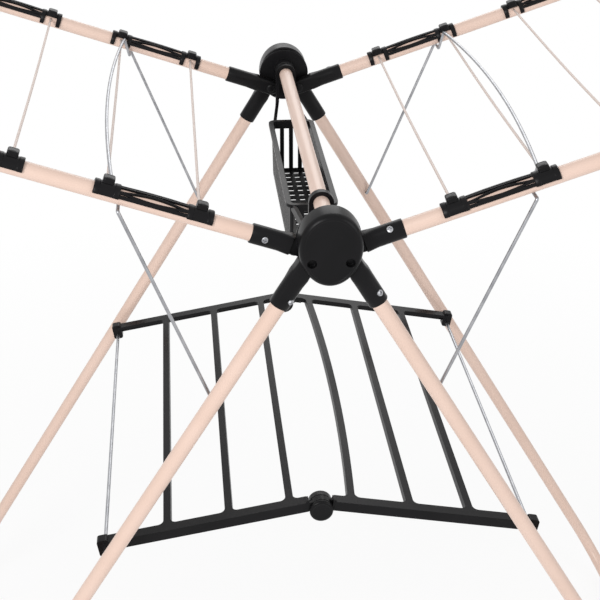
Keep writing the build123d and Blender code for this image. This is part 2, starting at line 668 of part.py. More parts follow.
# Peg basket: a tapered pierced trough with a hanger over the crossbar at each end
RIM_Z = CROSSBAR_Z - BASKET_RIM_DOWN
FLOOR_Z = CROSSBAR_Z - BASKET_FLOOR_DOWN
SLOT_LOW = FLOOR_Z + SLOT_FLOOR_LAND
SLOT_HIGH = RIM_Z - SLOT_TOP_LAND
SLOT_MID = (SLOT_LOW + SLOT_HIGH) / 2
STRAP_Z = RIM_Z - HANGER_TUCK - HANGER_BAR[0] / 2
with BuildPart() as basket:
    with BuildSketch(Plane((0, BASKET_AT, FLOOR_Z))):
        RectangleRounded(BASKET_FLOOR_W, BASKET_FLOOR_L, BASKET_ROUND)
    with BuildSketch(Plane((0, BASKET_AT, RIM_Z))):
        RectangleRounded(BASKET_RIM_W, BASKET_RIM_L, BASKET_ROUND)
    loft(ruled=True)
    offset(amount=-BASKET_WALL, openings=basket.faces().sort_by(Axis.Z)[-1])
    with BuildSketch(Plane((0, BASKET_AT, RIM_Z))):
        RectangleRounded(
            BASKET_RIM_W + 2 * BASKET_LIP_W, BASKET_RIM_L + 2 * BASKET_LIP_W, BASKET_ROUND + BASKET_LIP_W,
        )
        RectangleRounded(
            BASKET_RIM_W - 2 * BASKET_WALL, BASKET_RIM_L - 2 * BASKET_WALL, BASKET_ROUND - BASKET_WALL,
            mode=Mode.SUBTRACT,
        )
    extrude(amount=-BASKET_LIP_T)
    with BuildSketch(Plane((0, BASKET_AT, FLOOR_Z))):
        with GridLocations(*FLOOR_HOLE_PITCH, *FLOOR_HOLE_COUNT):
            Rectangle(*FLOOR_HOLE)
    extrude(amount=2 * BASKET_WALL, mode=Mode.SUBTRACT)
    with BuildSketch(Plane.XZ.offset(-BASKET_AT - BASKET_RIM_L)):
        with Locations((0, SLOT_MID)):
            with GridLocations(END_SLOT_PITCH, 1, END_SLOT_COUNT, 1):
                Rectangle(END_SLOT_W, SLOT_HIGH - SLOT_LOW)
    extrude(amount=2 * BASKET_RIM_L, mode=Mode.SUBTRACT)
    with BuildSketch(Plane.YZ.offset(-BASKET_RIM_W)):
        with Locations((BASKET_AT, SLOT_MID)):
            with GridLocations(SIDE_SLOT_PITCH, 1, SIDE_SLOT_COUNT, 1):
                Rectangle(SIDE_SLOT_W, SLOT_HIGH - SLOT_LOW)
    extrude(amount=2 * BASKET_RIM_W, mode=Mode.SUBTRACT)
    loop_r = TUBE_R + HANGER_CLEAR + HANGER_WALL / 2
    for end in ENDS.values():
        hanger_y = BASKET_AT + end * HANGER_AT
        strap_y = BASKET_AT + end * (BASKET_RIM_L - BASKET_WALL) / 2
        with BuildSketch(Plane(origin=(0, hanger_y, CROSSBAR_Z), x_dir=(1, 0, 0), z_dir=(0, -1, 0))):
            Circle(loop_r + HANGER_WALL / 2)
            Circle(loop_r - HANGER_WALL / 2, mode=Mode.SUBTRACT)
        extrude(amount=HANGER_T / 2, both=True)
        for side in (-1, 1):
            strap_x = side * (BASKET_RIM_W / 2 - HANGER_BAR[1])
            with BuildLine() as arm:
                FilletPolyline(
                    (side * loop_r, hanger_y, CROSSBAR_Z),
                    (side * loop_r, hanger_y, STRAP_Z),
                    (strap_x, strap_y, STRAP_Z),
                    radius=HANGER_BEND,
                )
            with BuildSketch(Plane(origin=arm.line @ 0, x_dir=(0, 1, 0), z_dir=arm.line % 0)):
                Rectangle(*HANGER_BAR)
            sweep(path=arm.line)
    with BuildSketch(Plane.XZ.offset(-BASKET_AT - BASKET_RIM_L)):
        with Locations((0, CROSSBAR_Z)):
            Circle(TUBE_R + HANGER_CLEAR)
    extrude(amount=2 * BASKET_RIM_L, mode=Mode.SUBTRACT)
write(basket.part, "peg_basket")
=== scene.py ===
"""Folding clothes airer with two raised wings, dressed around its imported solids, in metres."""

from math import cos, radians, sin

import bmesh
import bpy
import numpy as np
from mathutils import Matrix, Vector


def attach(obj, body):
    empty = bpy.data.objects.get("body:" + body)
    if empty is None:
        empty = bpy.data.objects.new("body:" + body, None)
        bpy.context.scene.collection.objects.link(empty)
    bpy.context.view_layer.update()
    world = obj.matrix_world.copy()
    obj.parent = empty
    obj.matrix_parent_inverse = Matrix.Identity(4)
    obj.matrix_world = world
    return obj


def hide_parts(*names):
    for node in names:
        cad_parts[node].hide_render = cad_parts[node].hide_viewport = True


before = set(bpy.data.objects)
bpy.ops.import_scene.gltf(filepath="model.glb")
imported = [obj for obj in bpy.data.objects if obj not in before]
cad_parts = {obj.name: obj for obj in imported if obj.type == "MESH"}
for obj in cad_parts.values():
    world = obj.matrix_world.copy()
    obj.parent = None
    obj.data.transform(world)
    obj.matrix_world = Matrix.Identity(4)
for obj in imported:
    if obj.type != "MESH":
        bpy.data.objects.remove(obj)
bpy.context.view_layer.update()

# Crossbar: the tube that ties the two hubs together and carries the peg basket.
# Drawn steel tube, cut to length and powder coated; its ends are pressed into the hub collars.


def linear(hex_code):
    """Linear colour of an sRGB hex value: each channel through the sRGB curve."""
    srgb = np.array([int(hex_code[i:i + 2], 16) for i in (1, 3, 5)]) / 255
    return (*np.where(srgb <= 0.04045, srgb / 12.92, ((srgb + 0.055) / 1.055) ** 2.4).tolist(), 1.0)


def add(tree, kind, inputs=None, **settings):
    """Adds one node: settings are its properties, and inputs its sockets, each given a value or a
    (node, socket) link."""
    made = tree.nodes.new(kind)
    for name, value in settings.items():
        setattr(made, name, value)
    for socket, value in (inputs or {}).items():
        if isinstance(value, tuple) and isinstance(value[0], bpy.types.Node):
            tree.links.new(value[0].outputs[value[1]], made.inputs[socket])
        else:
            made.inputs[socket].default_value = value
    return made


def new_material(name):
    """Empty node material and its tree."""
    made = bpy.data.materials.new(name)
    made.use_nodes = True
    made.node_tree.nodes.clear()
    return made, made.node_tree


def dress(material, *names):
    """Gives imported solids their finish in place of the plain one."""
    for name in names:
        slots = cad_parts[name].data.materials
        slots.clear()
        slots.append(material)


# Epoxy-polyester powder coat on steel tube, sprayed dry and baked: an even satin film with a faint
# orange peel, drawn at 5 mm across, coarser than it is, so that it shows.
PEEL_SIZE = 0.005
PEEL_DEPTH = 0.00003
CLOUD_SIZE = 0.07
COAT_TINTS = [(0.35, "#e9ccbc"), (0.65, "#edd1c2")]
powder_coat, tree = new_material("satin_powder_coat")
coords = add(tree, "ShaderNodeTexCoord")
cloud = add(tree, "ShaderNodeTexNoise", {
    "Vector": (coords, "Object"), "Scale": 1 / CLOUD_SIZE, "Detail": 3.0,
})
tint = add(tree, "ShaderNodeValToRGB", {"Fac": (cloud, "Fac")})
for stop, (place, hex_code) in zip(tint.color_ramp.elements, COAT_TINTS):
    stop.position, stop.color = place, linear(hex_code)
peel = add(tree, "ShaderNodeTexNoise", {
    "Vector": (coords, "Object"), "Scale": 1 / PEEL_SIZE, "Detail": 1.0,
})
satin = add(tree, "ShaderNodeMapRange", {"Value": (cloud, "Fac"), "To Min": 0.31, "To Max": 0.38})
skin = add(tree, "ShaderNodeBump", {"Height": (peel, "Fac"), "Distance": PEEL_DEPTH, "Strength": 0.12})
coat = add(tree, "ShaderNodeBsdfPrincipled", {
    "Base Color": (tint, "Color"), "Roughness": (satin, "Result"), "Normal": (skin, "Normal"), "IOR": 1.5,
})
add(tree, "ShaderNodeOutputMaterial", {"Surface": (coat, "BSDF")})
dress(powder_coat, "crossbar")

# Hubs: an oval moulded cover outside, a plate inside with a collar for the crossbar, and two pins
# on which the leg and wing sockets turn. All are injection moulded and snapped together.

# Black polypropylene, injection moulded in a lightly eroded tool: a dull satin skin with a grain of
# about 0.6 mm, drawn coarse enough to show, and moulded edges of about 0.7 mm that catch the light.
# A painted highlight, a lighter black, is laid along those edges as well.
GRAIN_SIZE = 0.0006
GRAIN_DEPTH = 0.000012
MOULD_EDGE = 0.0007
FLOW_SIZE = 0.035
BLACKS = [(0.3, "#121213"), (0.7, "#171618")]
# Lighter black painted along the moulded edges as a highlight.
EDGE_HIGHLIGHT_BLACK = "#2a292c"
black_plastic, tree = new_material("moulded_black_polypropylene")
coords = add(tree, "ShaderNodeTexCoord")
flow = add(tree, "ShaderNodeTexNoise", {
    "Vector": (coords, "Object"), "Scale": 1 / FLOW_SIZE, "Detail": 4.0,
})
edge = add(tree, "ShaderNodeBevel", {"Radius": MOULD_EDGE}, samples=4)
surface = add(tree, "ShaderNodeNewGeometry")
turned = add(tree, "ShaderNodeVectorMath", {
    0: (edge, "Normal"), 1: (surface, "Normal"),
}, operation="DOT_PRODUCT")
# Painted highlight: the lighter black is mixed in where the bevelled normal turns away from the face, along
# the edges.
painted_edge_highlight = add(tree, "ShaderNodeMapRange", {
    "Value": (turned, "Value"), "From Min": 0.995, "From Max": 0.80, "To Min": 0.0, "To Max": 0.3,
})
pigment = add(tree, "ShaderNodeValToRGB", {"Fac": (flow, "Fac")})
for stop, (place, hex_code) in zip(pigment.color_ramp.elements, BLACKS):
    stop.position, stop.color = place, linear(hex_code)
edge_highlighted = add(tree, "ShaderNodeMix", {
    "Factor": (painted_edge_highlight, "Result"), "A": (pigment, "Color"), "B": linear(EDGE_HIGHLIGHT_BLACK),
}, data_type="RGBA")
grain = add(tree, "ShaderNodeTexNoise", {
    "Vector": (coords, "Object"), "Scale": 1 / GRAIN_SIZE, "Detail": 1.0,
})
dull = add(tree, "ShaderNodeMapRange", {"Value": (flow, "Fac"), "To Min": 0.26, "To Max": 0.36})
skin = add(tree, "ShaderNodeBump", {
    "Height": (grain, "Fac"), "Distance": GRAIN_DEPTH, "Strength": 0.3, "Normal": (edge, "Normal"),
})
plastic = add(tree, "ShaderNodeBsdfPrincipled", {
    "Base Color": (edge_highlighted, "Result"), "Roughness": (dull, "Result"), "Normal": (skin, "Normal"),
    "IOR": 1.49, "Specular IOR Level": 0.13,
})
add(tree, "ShaderNodeOutputMaterial", {"Surface": (plastic, "BSDF")})

# The two pins of a hub stand at the same height, which the splayed legs set above the floor.
ENDS = {"front": -1, "back": 1}
FLOOR_BAR_Z = 0.011
LEG_LENGTH = 0.930
LEG_SPLAY = radians(31)
PIVOT_HALF = 0.018
PIVOT_Z = FLOOR_BAR_Z + LEG_LENGTH * cos(LEG_SPLAY)

# Cover: its depths are distances from the middle of the airer. The rim's section is in millimetres,
# inwards from the outline and outwards from the skirt's edge.
COVER_BACK = 0.24325
COVER_SEAT = 0.26075
SEAT_GAP = 0.0002
COVER_UP = 0.0120
COVER_HALF = (0.0304, 0.0373)
COVER_EGG = 0.05
COVER_RIM = np.array([
    (12, 17.5), (2.6, 17.5), (2.6, 0), (0.5, 0), (0, 0.4), (0, 18.2), (0.5, 20.6), (1.6, 22.6),
    (3.1, 23.9), (4.3, 24.45), (4.7, 24.5), (5.1, 24.4), (5.4, 24.1), (6.0, 23.95), (12, 23.95), (24, 23.95),
])
COVER_CREASE = 40
SKIRT_LOW = 0.0155
SKIRT_EDGE = 0.001
HOLE_R = 0.0046
HOLE_FLOOR = 0.2613
DRILL_END = 0.28
DRILL_PROFILE = [(HOLE_R, HOLE_FLOOR), (HOLE_R, DRILL_END)]

# Pins: a low domed head inside, and a plain shank out to the seat of the cover.
PIN_INNER = 0.22575
PIN_R = 0.0035
PIN_HEAD_R = 0.0052
PIN_HEAD_T = 0.0015
PIN_PROFILE = [
    (0.0030, PIN_INNER - PIN_HEAD_T), (0.0044, PIN_INNER - 0.8 * PIN_HEAD_T),
    (PIN_HEAD_R, PIN_INNER - 0.3 * PIN_HEAD_T), (PIN_HEAD_R, PIN_INNER),
    (PIN_R, PIN_INNER), (PIN_R, COVER_SEAT),
]


def closed_rings(rings):
    """Closed skin over a stack of rings (count, around, 3): quads between rings and a fan at each end."""
    count, around = rings.shape[:2]
    points = np.concatenate([rings.reshape(-1, 3), rings[:1].mean(1), rings[-1:].mean(1)])
    this = np.arange(around)
    after = (this + 1) % around
    rows = (np.arange(count - 1) * around)[:, None]
    quads = np.stack([rows + this, rows + after, rows + around + after, rows + around + this], -1)
    first, last = count * around, count * around + 1
    low = (count - 1) * around
    start = np.stack([np.full(around, first), after, this], -1)
    finish = np.stack([np.full(around, last), low + this, low + after], -1)
    return points, quads.reshape(-1, 4).tolist() + start.tolist() + finish.tolist()


def join_shells(shells):
    """Points and faces of several closed shells as one list."""
    starts = np.cumsum([0] + [len(points) for points, _ in shells[:-1]])
    faces = [[v + int(start) for v in face] for start, (_, shell) in zip(starts, shells) for face in shell]
    return np.concatenate([points for points, _ in shells]), faces


def put_mesh(name, points, faces, material, crease=None):
    """Mesh object at the origin, from points and faces in the object's frame, turned to face outwards.
    Edges sharper than the crease angle stay sharp, and the rest are shaded smooth."""
    mesh = bpy.data.meshes.new(name)
    mesh.from_pydata(points.tolist(), [], faces)
    skin = bmesh.new()
    skin.from_mesh(mesh)
    bmesh.ops.recalc_face_normals(skin, faces=skin.faces)
    skin.to_mesh(mesh)
    skin.free()
    mesh.polygons.foreach_set("use_smooth", np.full(len(mesh.polygons), crease is not None))
    if crease is not None:
        mesh.set_sharp_from_angle(angle=radians(crease))
    mesh.materials.append(material)
    made = bpy.data.objects.new(name, mesh)
    bpy.context.scene.collection.objects.link(made)
    return made


def put_shells(name, ring_sets, material, crease=None):
    """Mesh object of one closed skin or more, each over its own stack of rings."""
    return put_mesh(name, *join_shells([closed_rings(rings) for rings in ring_sets]), material, crease)


def stand_for(made, body, node):
    """Says which body a piece rides on, and hides the solid it stands for."""
    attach(made, body)
    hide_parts(node)


def full_turn(count):
    """Angles of one whole turn in equal steps."""
    return np.linspace(0, 2 * np.pi, count, endpoint=False)


def turned_rings(profile, end, centre, around=48):
    """Rings of a turned shape with its axis along Y: radius and depth from the profile, round the point
    (x, z), with the depth taken to the front or the back by the sign of the end."""
    radius, depth = np.array(profile).T[..., None]
    turn = full_turn(around)
    x, z = centre[0] + radius * np.cos(turn), centre[1] + radius * np.sin(turn)
    return np.stack([x, end * (depth + 0 * x), z], -1)


def cover_rings(end):
    """Oval cover: at inset d the outline is x = (a - d)(1 + e sin t) cos t, z = (b - d) sin t.
    The rings run from the inside round the skirt's edge, over the rim and in to the middle of the face.
    Where the skirt is cut away, its edge lies at the seat of the cover."""
    turn = full_turn(144)
    upper = (COVER_UP + COVER_HALF[1] * np.sin(turn)) > SKIRT_LOW
    skirt = np.where(upper, COVER_BACK, COVER_SEAT - SEAT_GAP)
    inset, depth = COVER_RIM.T[..., None] / 1000
    depth = np.where(depth < SKIRT_EDGE, skirt + depth, COVER_BACK + depth)
    x = (COVER_HALF[0] - inset) * (1 + COVER_EGG * np.sin(turn)) * np.cos(turn)
    z = PIVOT_Z + COVER_UP + (COVER_HALF[1] - inset) * np.sin(turn)
    return np.stack([x, end * (depth + 0 * x), z], -1)


def at_both_pins(profile, end):
    """The same turned shape on both pins of a hub."""
    return [turned_rings(profile, end, (x, PIVOT_Z)) for x in (-PIVOT_HALF, PIVOT_HALF)]


for end, sign in ENDS.items():
    dress(black_plastic, f"hub_plate_{end}")
    hub_cover = put_shells(f"oval_cover_{end}", [cover_rings(sign)], black_plastic, COVER_CREASE)
    drill = put_shells("drill", at_both_pins(DRILL_PROFILE, sign), black_plastic)
    bore = hub_cover.modifiers.new("pin_holes", "BOOLEAN")
    bore.operation, bore.solver, bore.object = "DIFFERENCE", "EXACT", drill
    bored = bpy.data.meshes.new_from_object(hub_cover.evaluated_get(bpy.context.evaluated_depsgraph_get()))
    hub_cover.modifiers.remove(bore)
    hub_cover.data = bored
    bored.set_sharp_from_angle(angle=radians(COVER_CREASE))
    bpy.data.objects.remove(drill)
    stand_for(hub_cover, "root", f"hub_cover_{end}")
    hub_pins = put_shells(f"hub_pins_{end}", at_both_pins(PIN_PROFILE, sign), black_plastic, crease=40)
    stand_for(hub_pins, "root", f"pivot_pins_{end}")

# Leg frames: each a steel tube bent into a U and powder coated as the crossbar is, with its two ends
# in moulded sockets. The foot pads are moulded caps pressed over the floor bar.
SIDES = {"left": -1, "right": 1}
for side in SIDES:
    dress(powder_coat, f"leg_frame_{side}")
    for end in ENDS:
        dress(black_plastic, f"foot_{end}_{side}")

# Leg sockets: black moulded sleeves over the ends of the leg tubes, each with a flat eye that turns on
# a hub pin. The leg sockets lie in the outer layer under the cover, and the wing sockets inside them.
LEG_SLOPE = LEG_SPLAY - radians(90)
LEG_PLANE = 0.252
LEG_SOCKET_HALF = 0.0101
LAYER_HALF = 0.0085
EYE_R = 0.009
EYE_FROM = 0.12
RELIEF_END = 0.018
# Stations along the tube: half the height at the neck, then how far the sleeve's mouth is drawn in.
NECK_SHAPE = np.array([(0.008, 0.009), (0.014, 0.009), (0.0175, 0.0094), (0.0182, 0.0096)])
SLEEVE_SHAPE = np.array([
    (0.021, 0), (0.030, 0), (0.045, 0), (0.0572, 0), (0.0579, 0.0004), (0.058, 0.001),
])
BOXY_RUN, BOXY_POWER = (0.010, 0.026), (7.0, 2.2)
MOUTH_RUN, MOUTH_IN = (0.0572, 0.058), (0, 0.0004)


def frame_point(slope, side, along, y, up):
    """Point of a leg or wing: its pivot plus along times the tube's direction plus up times the normal."""
    run, rise = cos(slope), sin(slope)
    return np.array([side * (PIVOT_HALF + along * run - up * rise), y, PIVOT_Z + along * rise + up * run])


def superellipse(turn, power):
    """Points of |a|^p + |b|^p = 1: a = sign(cos t) |cos t|^(2/p), and b the same of the sine."""
    return [np.sign(f(turn)) * abs(f(turn)) ** (2 / power) for f in (np.cos, np.sin)]


def socket_rings(side, slope, end, plane, half_high, relief):
    """Socket as rings across the tube: |y/w|^p + |z/h|^p = 1, boxy (p = 7) at the eye and nearly round
    (p = 2.2) at the sleeve. The eye is a half round of its own radius, and relief takes the outer side
    in where the hub plate lies."""
    eye = np.linspace(EYE_FROM, np.pi / 2, 8)
    along = np.concatenate([-EYE_R * np.cos(eye), NECK_SHAPE[:, 0], SLEEVE_SHAPE[:, 0]])[:, None]
    high = np.concatenate([EYE_R * np.sin(eye), NECK_SHAPE[:, 1], half_high - SLEEVE_SHAPE[:, 1]])[:, None]
    inner = LAYER_HALF - np.interp(along, MOUTH_RUN, MOUTH_IN)
    outer = np.where(along < RELIEF_END, inner - relief, inner)
    wide, tall = superellipse(full_turn(56), np.interp(along, BOXY_RUN, BOXY_POWER))
    y = plane + np.where(wide > 0, outer, inner) * wide
    run, rise = cos(slope), sin(slope)
    x = side * (PIVOT_HALF + along * run - tall * high * rise)
    z = PIVOT_Z + along * rise + tall * high * run
    return np.stack([x, end * y, z], -1)


for side, sign in SIDES.items():
    for end, end_sign in ENDS.items():
        rings = socket_rings(sign, LEG_SLOPE, end_sign, LEG_PLANE, LEG_SOCKET_HALF, relief=0)
        sleeve = put_shells(f"leg_sleeve_{side}_{end}", [rings], black_plastic, crease=45)
        stand_for(sleeve, f"{side}_legs", f"leg_socket_{side}_{end}")

# Leg screws: pan-head steel screws with a cross recess, one driven through each socket into its tube.
# Those of both legs face out and to the right, as the sockets of both sides are the same moulding.

# Zinc-plated steel, drawn and electroplated: a grey metal with a slightly uneven, milky gloss. The
# plating clouds over about 12 mm, and the drawing marks are drawn at 3 mm, coarse enough to show.
PLATING_CLOUD = 0.012
DRAW_MARK = 0.003
DRAW_DEPTH = 0.00002
ZINC_GREYS = [(0.3, "#95969a"), (0.7, "#b0b1b4")]
bright_zinc, tree = new_material("bright_zinc_plated_steel")
coords = add(tree, "ShaderNodeTexCoord")
bloom = add(tree, "ShaderNodeTexNoise", {
    "Vector": (coords, "Object"), "Scale": 1 / PLATING_CLOUD, "Detail": 4.0,
})
metal = add(tree, "ShaderNodeValToRGB", {"Fac": (bloom, "Fac")})
for stop, (place, hex_code) in zip(metal.color_ramp.elements, ZINC_GREYS):
    stop.position, stop.color = place, linear(hex_code)
milky = add(tree, "ShaderNodeMapRange", {"Value": (bloom, "Fac"), "To Min": 0.28, "To Max": 0.46})
marks = add(tree, "ShaderNodeTexNoise", {
    "Vector": (coords, "Object"), "Scale": 1 / DRAW_MARK, "Detail": 1.0,
})
skin = add(tree, "ShaderNodeBump", {"Height": (marks, "Fac"), "Distance": DRAW_DEPTH, "Strength": 0.15})
plating = add(tree, "ShaderNodeBsdfPrincipled", {
    "Base Color": (metal, "Color"), "Metallic": 1.0, "Roughness": (milky, "Result"),
    "Normal": (skin, "Normal"),
})
add(tree, "ShaderNodeOutputMaterial", {"Surface": (plating, "BSDF")})

LEG_SCREW_AT = 0.047
LEG_SCREW_TILT = {"left": radians(-45), "right": radians(45)}
SCREW_SEAT = 0.0092
HEAD_R = 0.0032
HEAD_T = 0.0016
HEAD_SUNK = 0.0008
HEAD_FALL = 0.35
# Rim of a head: share of its radius, and of the rim's drop, on its outer rings.
HEAD_RIM = np.array([(0.95, 0.1), (0.985, 0.35), (1.0, 0.7), (1.0, 0)])
RIM_DROP = 0.0005
DOME_RINGS = np.linspace(0.04, 0.90, 20)
RECESS_HALF = (0.0005, 0.0019)
RECESS_SOFT = (0.0002, 0.0003)
RECESS_DEEP = 0.0010


def soft_step(distance, reach):
    """1 well inside an edge and 0 well outside, straight between over the reach."""
    return np.clip(distance / reach + 0.5, 0, 1)


def pan_head(seat, out, across):
    """Pan head on polar rings: height = T (1 - 0.35 (r/R)^2.5) less the cross recess, then down the rim.
    The recess is the larger of two bars, each a product of soft steps in its width and its length."""
    share = np.concatenate([DOME_RINGS, HEAD_RIM[:, 0]])[:, None]
    drop = np.concatenate([0 * DOME_RINGS, HEAD_RIM[:, 1]])[:, None] * RIM_DROP
    turn = full_turn(72)
    x, y = share * HEAD_R * np.cos(turn), share * HEAD_R * np.sin(turn)
    (wide, long), (wide_soft, long_soft) = RECESS_HALF, RECESS_SOFT
    bars = [
        soft_step(wide - abs(a), wide_soft) * soft_step(long - abs(b), long_soft)
        for a, b in ((x, y), (y, x))
    ]
    height = HEAD_T * (1 - HEAD_FALL * share ** 2.5) - drop - RECESS_DEEP * np.maximum(*bars)
    height[-1] = -HEAD_SUNK
    side = np.cross(out, across)
    return seat + x[..., None] * across + y[..., None] * side + height[..., None] * out


def socket_screws(name, side, slope, plane, at, lean, seat_at, body):
    """Two pan heads, on a frame's front and back sockets, each on an axis that leans up from the
    tube's side."""
    heads = []
    for end in ENDS.values():
        across = frame_point(slope, side, 1, 0, 0) - frame_point(slope, side, 0, 0, 0)
        lift = frame_point(slope, side, 0, 0, 1) - frame_point(slope, side, 0, 0, 0)
        out = np.array([0, end * cos(lean), 0]) + sin(lean) * lift
        seat = frame_point(slope, side, at, end * plane, 0) + seat_at * out
        heads.append(pan_head(seat, out, across))
    stand_for(put_shells(f"pan_{name}", heads, bright_zinc, crease=50), body, name)


for side, sign in SIDES.items():
    socket_screws(
        f"leg_screws_{side}", sign, LEG_SLOPE, LEG_PLANE, LEG_SCREW_AT, LEG_SCREW_TILT[side], SCREW_SEAT,
        f"{side}_legs",
    )

# Wing frames: the same coated tube bent into a U, in moulded sockets on the same hub pins as the legs.
# Each socket has one screw; those on the left face straight out, clear of the folded leg sockets.
WING_RISE = radians(19)
WING_PLANE = 0.2345
WING_SOCKET_HALF = 0.0097
PLATE_T = 0.003
WING_SCREW_AT = 0.0445
WING_SCREW_TILT = {"left": radians(2), "right": radians(45)}
WING_SCREW_SEAT = {"left": 0.0083, "right": SCREW_SEAT}
for side, sign in SIDES.items():
    dress(powder_coat, f"wing_frame_{side}")
    for end, end_sign in ENDS.items():
        rings = socket_rings(sign, WING_RISE, end_sign, WING_PLANE, WING_SOCKET_HALF, relief=PLATE_T)
        sleeve = put_shells(f"wing_sleeve_{side}_{end}", [rings], black_plastic, crease=45)
        stand_for(sleeve, f"{side}_wing", f"wing_socket_{side}_{end}")
    socket_screws(
        f"wing_screws_{side}", sign, WING_RISE, WING_PLANE, WING_SCREW_AT, WING_SCREW_TILT[side],
        WING_SCREW_SEAT[side], f"{side}_wing",
    )

# Line rails: black mouldings clipped over the wing arms, four on each arm. Each has a saddle with a lug
# at two drying lines, and between them a pierced strip of thin ribs that bow over the tube.
LINE_FIRST = 0.109
LINE_PITCH = 0.090
LINE_COUNT = 8
LINE_PLACES = LINE_FIRST + LINE_PITCH * np.arange(LINE_COUNT)
# Saddle in millimetres: distance along the tube from the line, and radius.
SADDLE_SHAPE = np.array([
    (-12.5, 10.1), (-12.3, 10.6), (-11.8, 10.9), (-7.5, 10.9), (-7.0, 10.4),
    (7.0, 10.4), (7.5, 10.9), (11.8, 10.9), (12.3, 10.6), (12.5, 10.1),
]) / 1000
SADDLE_WRAP = radians(86)
COLLAR_WRAP = radians(112)
WINDOW_WRAP = radians(52)
COLLAR_FROM = 0.0072
# Lug: height above the tube's axis, and share of its full section.
LUG_SHAPE = np.array([(0.0075, 1), (0.0130, 1), (0.0140, 0.96), (0.0145, 0.86)])
LUG_HALF = (0.0056, 0.0062)
LUG_BACK = -0.004
# Ribs of one flank: angle from the top and bow in degrees, half width and arch in millimetres.
RIBS = [(8, 0, 0.9, 0.6), (43, -19, 1.1, 0.5), (50, 10, 1.2, 0.0), (72, 0, 2.0, 0.0)]
RIB_RUN = (0.009, 0.081)
RIB_IN = 0.0076
RIB_OUT = 0.0100
# Section of a rib: share of its half width and of its height.
RIB_BAND = np.array([(-1, 0), (-1, 0.8), (-0.75, 1), (0.75, 1), (1, 0.8), (1, 0)])


def on_arm(side, end, along, out, up):
    """Points of a wing arm, from arrays of distance along it, outwards from its middle plane and up
    from its axis."""
    along, out, up = np.broadcast_arrays(along, out, up)
    return np.moveaxis(frame_point(WING_RISE, side, along, end * (WING_PLANE + out), up), 0, -1)


def saddle_rings(side, end, at):
    """Saddle over the tube: radius by distance along it, carried over the top from the inner flank to
    the outer one and closed by a chord in the tube. Its two collars reach lower on the inner flank
    than the window between them."""
    along, radius = SADDLE_SHAPE.T[..., None]
    inner = np.where(abs(along) > COLLAR_FROM, COLLAR_WRAP, WINDOW_WRAP)
    turn = (SADDLE_WRAP + inner) * np.linspace(0, 1, 40) - inner
    over, level = np.sin(turn), np.cos(turn)
    back = np.linspace(0, 1, 7)[1:-1]
    over = np.concatenate([over, over[:, -1:] + (over[:, :1] - over[:, -1:]) * back], 1)
    level = np.concatenate([level, level[:, -1:] + (level[:, :1] - level[:, -1:]) * back], 1)
    return on_arm(side, end, at + along, radius * over, radius * level)


def lug_rings(side, end, at):
    """Lug on a saddle: |a/h|^6 + |b/w|^6 = 1 across it, carried upwards and drawn in at the top."""
    up, share = LUG_SHAPE.T[..., None]
    a, b = superellipse(full_turn(40), 6)
    return on_arm(side, end, at + LUG_HALF[0] * share * a, LUG_BACK + LUG_HALF[1] * share * b, up)


def rib_rings(side, end, at, flank, rib):
    """Rib on the tube: a chamfered band whose angle from the top is start + bow sin(pi t)^2 along the
    run, and whose radius grows by the arch times sin(pi t)."""
    start, bow, half_wide, arch = rib
    share = np.linspace(0, 1, 41)[:, None]
    swell = np.sin(np.pi * share)
    middle = radians(start) + radians(bow) * swell ** 2
    edge, depth = RIB_BAND.T
    radius = RIB_IN + (RIB_OUT + arch / 1000 * swell - RIB_IN) * depth
    angle = flank * (middle + half_wide / 1000 / RIB_OUT * edge)
    along = at + RIB_RUN[0] + (RIB_RUN[1] - RIB_RUN[0]) * share
    return on_arm(side, end, along, radius * np.sin(angle), radius * np.cos(angle))


for side, sign in SIDES.items():
    for end, end_sign in ENDS.items():
        ring_sets = [saddle_rings(sign, end_sign, at) for at in LINE_PLACES]
        ring_sets += [lug_rings(sign, end_sign, at) for at in LINE_PLACES]
        ring_sets += [
            rib_rings(sign, end_sign, at, flank, rib)
            for at in LINE_PLACES[::2] for flank in (-1, 1) for rib in RIBS
        ]
        rail_set = put_shells(f"rail_set_{end}_{side}", ring_sets, black_plastic, crease=40)
        stand_for(rail_set, f"{side}_wing", f"line_rails_{end}_{side}")

# Drying lines: plastic-sheathed cords, each pulled through a hole in both arms and knotted inside
# the tubes, so that it runs nearly straight from arm to arm with a slight sag.
LINE_D = 0.0028
LINE_UP = 0.003
LINE_HALF = 0.231
LINE_STRAIGHT = 0.205
LINE_SAG = 0.003

# Soft PVC sheath over a polyester core, extruded: a matt pale skin with faint waves from the core
# about 12 mm apart, and fine dust that takes the gloss down.
WAVE_SIZE = 0.012
WAVE_DEPTH = 0.00002
SHEATH_TINTS = [(0, "#e4d3ca"), (1, "#e7d7cf")]
line_sheath, tree = new_material("extruded_pvc_sheath")
coords = add(tree, "ShaderNodeTexCoord")
wave = add(tree, "ShaderNodeTexNoise", {
    "Vector": (coords, "Object"), "Scale": 1 / WAVE_SIZE, "Detail": 2.0,
})
tint = add(tree, "ShaderNodeValToRGB", {"Fac": (wave, "Fac")})
for stop, (place, hex_code) in zip(tint.color_ramp.elements, SHEATH_TINTS):
    stop.position, stop.color = place, linear(hex_code)
matt = add(tree, "ShaderNodeMapRange", {"Value": (wave, "Fac"), "To Min": 0.42, "To Max": 0.58})
skin = add(tree, "ShaderNodeBump", {"Height": (wave, "Fac"), "Distance": WAVE_DEPTH, "Strength": 0.1})
sheath = add(tree, "ShaderNodeBsdfPrincipled", {
    "Base Color": (tint, "Color"), "Roughness": (matt, "Result"), "Normal": (skin, "Normal"), "IOR": 1.53,
})
add(tree, "ShaderNodeOutputMaterial", {"Surface": (sheath, "BSDF")})


